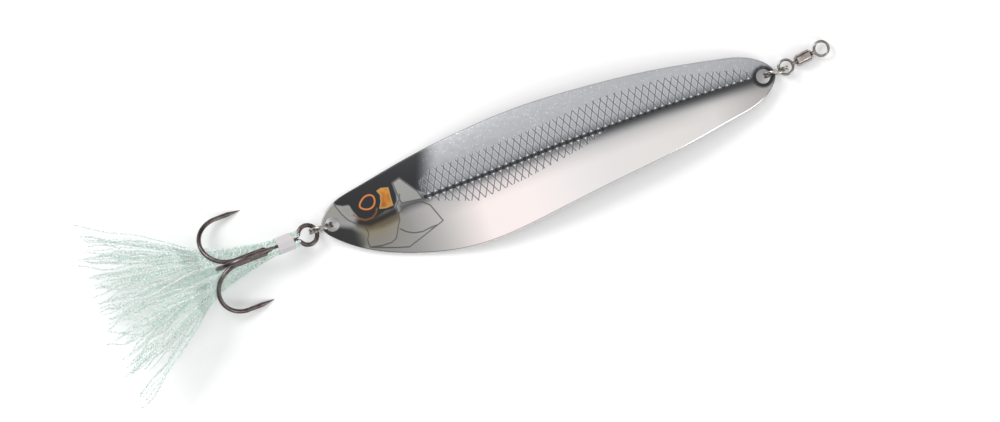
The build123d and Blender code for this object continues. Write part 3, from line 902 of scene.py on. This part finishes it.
# %% A smooth line through stations
def smooth_through(at, values_at, where):
    """Natural cubic spline through rows of values at increasing places."""
    at = np.array(at, float)
    h = np.diff(at)
    count = len(at)
    system = np.eye(count)
    right = np.zeros((count, values_at.shape[1]))
    for k in range(1, count - 1):
        system[k, k - 1 : k + 2] = h[k - 1], 2 * (h[k - 1] + h[k]), h[k]
        ahead_rate = (values_at[k + 1] - values_at[k]) / h[k]
        right[k] = 6 * (ahead_rate - (values_at[k] - values_at[k - 1]) / h[k - 1])
    bend = np.linalg.solve(system, right)
    k = np.clip(np.searchsorted(at, where, side="right") - 1, 0, count - 2)
    t = (where - at[k])[..., None]
    w = h[k][..., None]
    slope = (values_at[k + 1] - values_at[k]) / w - w * (2 * bend[k] + bend[k + 1]) / 6
    return values_at[k] + t * slope + t**2 * bend[k] / 2 + t**3 * (bend[k + 1] - bend[k]) / (6 * w)


peak = smooth_through([0, 1, 2], np.array([[0.0], [1.0], [0.0]]), np.array([1.0]))
print("a line through 0, 1 and 0 is at", float(peak[0, 0]), "at its middle station")

# %% [markdown]
# A strand keeps its place in the tuft's section from root to tip, wanders more the further it goes, and
# ducks under the hook's arms on the way. It is a ribbon of three sides that twists round its own line.

# %% Strands
STATIONS = (3.5, 9.35, 17.0, 27.0, 42.0, 60.0)  # mm along the shank where a tuft's skin has its sections
STRANDS = 15
STEPS = 250
STRAND_WIDTH = 0.44
STRAND_THICKNESS = 0.09
TWIST_PITCH = 1.9
LONGEST = 58.5  # mm along the shank
TRIM = (1.8, 2.4)  # shape and scale, in mm, of how much shorter a strand is
ROOTS = (2.4, 4.0)  # mm along the shank
SKIN_END = 66.0  # mm along the shank, past which a section stays the same
LOOSENS = (30, 62)  # mm along the shank between which a tuft spreads past its skin
FREES = (14, 60)  # mm along the shank between which a strand becomes free to wander
WAVES = (34.0, 17.0, 8.0)  # mm, lengths of the wander
WANDER = 0.03  # mm of wander for each mm of its wave
SPLAY = 0.9  # mm, how far strands stray to a side, before the gain
SPLAY_GAIN = 1.6
ARM_SLOPE = 0.58  # how fast a hook's arm falls to its side
ARM_GAP = 1.1  # mm that strands keep under an arm
DUCK_SHARPNESS = 4
DUCKS = (9, 15)  # mm along the shank where ducking begins
RISES = (29, 36)  # and where it ends
KINK = 0.05  # mm
FLOOR_GAP = 0.25  # mm between strands and the floor
LANDING_SHARPNESS = 3
random = np.random.default_rng(417)


def tuft_sections(node):
    """Centre, half width and half height of the tuft's skin at each station, in the shank's directions."""
    local = shank_frame(node_points(node))
    sections = []
    for station in STATIONS:
        ring = local[np.abs(local[:, 0] - station) < 0.05]
        if len(ring) == 0:
            raise ValueError(f"{node} has no section at {station}")
        low, high = ring.min(0)[1:], ring.max(0)[1:]
        sections.append([*(low + high) / 2, *(high - low) / 2])
    return np.array(sections)


def strand_paths(sections, count):
    """Lines of strands through a tuft: a place in its section, kept from root to tip, plus slow wander."""
    length = LONGEST - random.gamma(*TRIM, count)
    start = random.uniform(*ROOTS, count)
    share = np.linspace(0, 1, STEPS)
    run = start[:, None] + (length - start)[:, None] * share
    centre = smooth_through(STATIONS, sections, np.clip(run, STATIONS[0], SKIN_END))
    spin = random.uniform(0, 2 * math.pi, count)
    out = np.sqrt(random.uniform(0, 1, count))
    spread = soft(run, *LOOSENS)
    side = centre[..., 0] + centre[..., 2] * (out * np.cos(spin))[:, None] * (1 + 1.1 * spread)
    up = centre[..., 1] + centre[..., 3] * (out * np.sin(spin))[:, None] * (1 + 0.5 * spread)
    free = soft(run, *FREES)
    for wave in WAVES:
        phase = random.uniform(0, 2 * math.pi, (2, count, 1))
        size = random.normal(0, WANDER * wave, (2, count, 1))
        side += free * size[0] * np.sin(run / wave * 2 * math.pi + phase[0])
        up += 0.5 * free * size[1] * np.sin(run / wave * 2 * math.pi + phase[1])
    side += random.normal(0, SPLAY, (count, 1)) * free**2 * SPLAY_GAIN
    under_arms = -ARM_SLOPE * np.abs(side) - ARM_GAP - 0.4 * (1 - out[:, None])
    ducked = up - np.logaddexp(0, (up - under_arms) * DUCK_SHARPNESS) / DUCK_SHARPNESS
    up += (ducked - up) * soft(run, *DUCKS) * soft(-run, -RISES[1], -RISES[0])
    kink = random.normal(0, KINK, (2, count, STEPS))
    paths = from_shank(np.stack([run, side + kink[0] * free, up + kink[1] * free], -1).reshape(-1, 3))
    paths = paths.reshape(count, STEPS, 3)
    lowest = cad_box[0][2] / MM + FLOOR_GAP
    height = (paths[..., 2] - lowest) * LANDING_SHARPNESS
    paths[..., 2] = lowest + np.logaddexp(0, height) / LANDING_SHARPNESS
    return paths


print(STRANDS, "strands of", STEPS, "steps in each tuft")


# %% [markdown]
# A ribbon has three points at each step: two edges and a low ridge, which close it so that it has an
# inside. The three turn round the strand's line, so the film catches the light in places along it.

# %% Twisted ribbons
def twisted_ribbons(paths):
    """Flat three-sided ribbons along paths, turning round their own line about once every pitch."""
    count = len(paths)
    ahead = np.gradient(paths, axis=1)
    ahead /= np.linalg.norm(ahead, axis=2)[..., None]
    flat = np.cross(ahead, [0.0, 0.0, 1.0])
    flat /= np.linalg.norm(flat, axis=2)[..., None]
    high = np.cross(flat, ahead)
    travel = np.cumsum(np.linalg.norm(np.diff(paths, axis=1, prepend=paths[:, :1]), axis=2), axis=1)
    turn = travel / TWIST_PITCH * 2 * math.pi * random.uniform(0.7, 1.3, (count, 1))
    turn += random.uniform(0, 2 * math.pi, (count, 1))
    wide = random.uniform(0.75, 1.1, (count, 1, 1)) * STRAND_WIDTH / 2
    u = flat * np.cos(turn)[..., None] + high * np.sin(turn)[..., None]
    v = np.cross(u, ahead)
    base_line = paths - v * STRAND_THICKNESS / 3
    ridge = paths + v * STRAND_THICKNESS * 2 / 3
    points = np.stack([base_line - u * wide, base_line + u * wide, ridge], axis=2).reshape(-1, 3)
    base = (np.arange(count)[:, None] * STEPS + np.arange(STEPS - 1)[None]).ravel() * 3
    sides = ((0, 1), (1, 2), (2, 0))
    quads = [np.column_stack([base + a, base + b, base + b + 3, base + a + 3]) for a, b in sides]
    first = np.arange(count) * STEPS * 3
    last = first + (STEPS - 1) * 3
    faces = np.concatenate(quads).tolist()
    faces += np.column_stack([first, first + 2, first + 1]).tolist()
    faces += np.column_stack([last, last + 1, last + 2]).tolist()
    hue = np.repeat(random.uniform(0, 1, count), STEPS * 3)
    return points, faces, hue


# %% [markdown]
# The thin layers in pearl film reflect different colours at different angles. Noise through a ramp of
# pale mint, white and pink stands in for that, and each strand is a little more or less mint.

# %% Pearl film, and the tufts
def pearl_film():
    """Crinkled polyester pearl film: pale mint, with pink, white and grey-green glints along each strand."""
    material, tree = new_material("pearl_polyester_film")
    position = object_place(tree)
    glint = noise(tree, position, 1300.0, 2.0)
    stops = [(0.32, "#BAD6CA"), (0.42, "#DAF1E8"), (0.50, "#FFFFFF"), (0.58, "#FBEAF1"), (0.67, "#C3D6CE")]
    hues = ramp(tree, glint, stops)
    strand = attribute(tree, "strand")
    colour = blend_colour(tree, math_node(tree, "MULTIPLY", strand, 0.35), hues, "#DDF3EA")
    inputs = {
        "Base Color": colour,
        "Roughness": 0.3,
        "Coat Weight": 0.4,
        "Coat Roughness": 0.1,
        # A faint painted glow: the film's own light stands in for light passed from strand to strand.
        "Emission Color": linear("#DDF6EC"),
        "Emission Strength": 0.22,
    }
    finish_material(tree, inputs)
    return material


film = pearl_film()
tufts = sorted(node for node in frame["nodes"] if node.startswith("tinsel_"))
for node in tufts:
    points, faces, hue = twisted_ribbons(strand_paths(tuft_sections(node), STRANDS))
    piece = make_piece(node.replace("tinsel", "strands"), points, faces, film, values={"strand": hue})
    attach(piece, "treble")
    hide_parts(node)

# %% [markdown]
# The sleeve is soft milky tube, pushed over the thread that binds the strands. It lets light through, so
# the strands under it show as a paler shadow.

# %% Sleeve
SLEEVE_ENDS = (4.5, 9.1)
SLEEVE_OUTER = 2.38
SLEEVE_INNER = 2.04
SLEEVE_LIP = 0.12
SLEEVE_PRESS = 0.055  # how far the wall is set in, so that no bulge stands past the CAD tube
SLEEVE_POINTS = 96
SLEEVE_RINGS = 24


def sleeve_mesh():
    """A tube with rounded lips, its wall pressed slightly in and out by the strands under it."""
    turn = np.linspace(0, 2 * math.pi, SLEEVE_POINTS, endpoint=False)
    low, high = SLEEVE_ENDS
    outer_at = np.linspace(low + SLEEVE_LIP, high - SLEEVE_LIP, SLEEVE_RINGS)
    arc = np.linspace(0, math.pi, 9)[1:-1]
    wall = (SLEEVE_OUTER - SLEEVE_INNER) / 2
    middle = (SLEEVE_OUTER + SLEEVE_INNER) / 2
    profile = [(a, SLEEVE_OUTER) for a in outer_at]
    profile += [(high - SLEEVE_LIP + SLEEVE_LIP * math.sin(a), middle + wall * math.cos(a)) for a in arc]
    profile += [(a, SLEEVE_INNER) for a in outer_at[::-1]]
    profile += [(low + SLEEVE_LIP - SLEEVE_LIP * math.sin(a), middle - wall * math.cos(a)) for a in arc]
    profile = np.array(profile)
    a = profile[:, 0][:, None] + 0 * turn
    press = 0.03 * np.sin(9 * turn + 0.6)[None] + 0.025 * np.sin(4 * turn + a)
    radius = profile[:, 1][:, None] + (press - SLEEVE_PRESS) * (profile[:, 1][:, None] > middle)
    local = np.stack([a, radius * np.cos(turn), radius * np.sin(turn)], -1).reshape(-1, 3)
    rings, around = a.shape
    i, j = np.meshgrid(np.arange(rings), np.arange(around), indexing="ij")
    i2, j2 = (i + 1) % rings, (j + 1) % around
    faces = np.stack([i * around + j, i * around + j2, i2 * around + j2, i2 * around + j], -1).reshape(-1, 4)
    return from_shank(local), faces[:, ::-1].tolist()


def milky_tube():
    """Soft silicone tube: translucent, faintly pink, with a dull skin."""
    material, tree = new_material("milky_silicone_tube")
    position = object_place(tree)
    cloud = noise(tree, position, 700.0, 3.0)
    colour = blend_colour(tree, cloud, "#E6D3DA", "#D3DEDA")
    inputs = {
        "Base Color": colour,
        "Roughness": 0.35,
        "IOR": 1.41,
        "Transmission Weight": 0.25,
        "Subsurface Weight": 0.3,
        "Subsurface Scale": 0.6 * MM,
        "Normal": relief(tree, cloud, 0.2, 0.03),
    }
    finish_material(tree, inputs)
    return material


sleeve = make_piece("sleeve", *sleeve_mesh(), milky_tube())
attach(sleeve, "treble")
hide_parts("collar_sleeve")

# %% [markdown]
# The binding thread lies under the sleeve, and its CAD solid already has the right shape. It needs only a
# finish: white and waxed, with bands for its turns.

# %% Binding thread
def waxed_thread():
    """White waxed thread, with bands of light and shade for its turns."""
    material, tree = new_material("waxed_thread")
    position = object_place(tree)
    turns = add(tree, "ShaderNodeTexWave", {"Vector": position, "Scale": 900.0, "Distortion": 1.0})
    colour = blend_colour(tree, turns.outputs["Fac"], "#D9E4DE", "#F5F7F5")
    inputs = {"Base Color": colour, "Roughness": 0.6, "Normal": relief(tree, turns.outputs["Fac"], 0.5, 0.05)}
    finish_material(tree, inputs)
    return material


wear("tying_thread", waxed_thread())
print("finished tying_thread")
